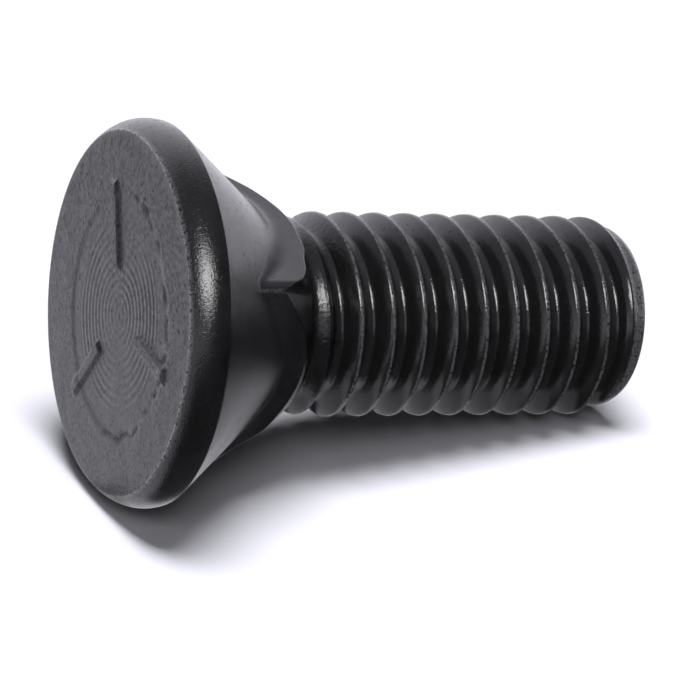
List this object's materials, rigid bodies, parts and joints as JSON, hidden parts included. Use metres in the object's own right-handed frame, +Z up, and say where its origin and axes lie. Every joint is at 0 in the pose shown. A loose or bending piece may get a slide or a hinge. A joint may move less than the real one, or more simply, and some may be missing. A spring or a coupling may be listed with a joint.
{
  "type": "plow bolt",
  "caption": "Flat-head plow bolt with an 80 degree countersunk head, a short square neck that stops it turning and a coarse right-hand thread, in black-finished steel.",
  "frame": {"origin": "on the floor that the bolt lies on, under the middle of its box", "axes": "+X along the floor from the head to the point, +Z up; the bolt's axis leans down towards the point, in the XZ plane"},
  "size_m": [0.0268, 0.0174, 0.0172],
  "materials": {
    "black_steel": "satin black oxide with a light film of oil"
  },
  "bodies": {
    "root": {"plow_bolt": "black_steel"}
  },
  "joints": []
}
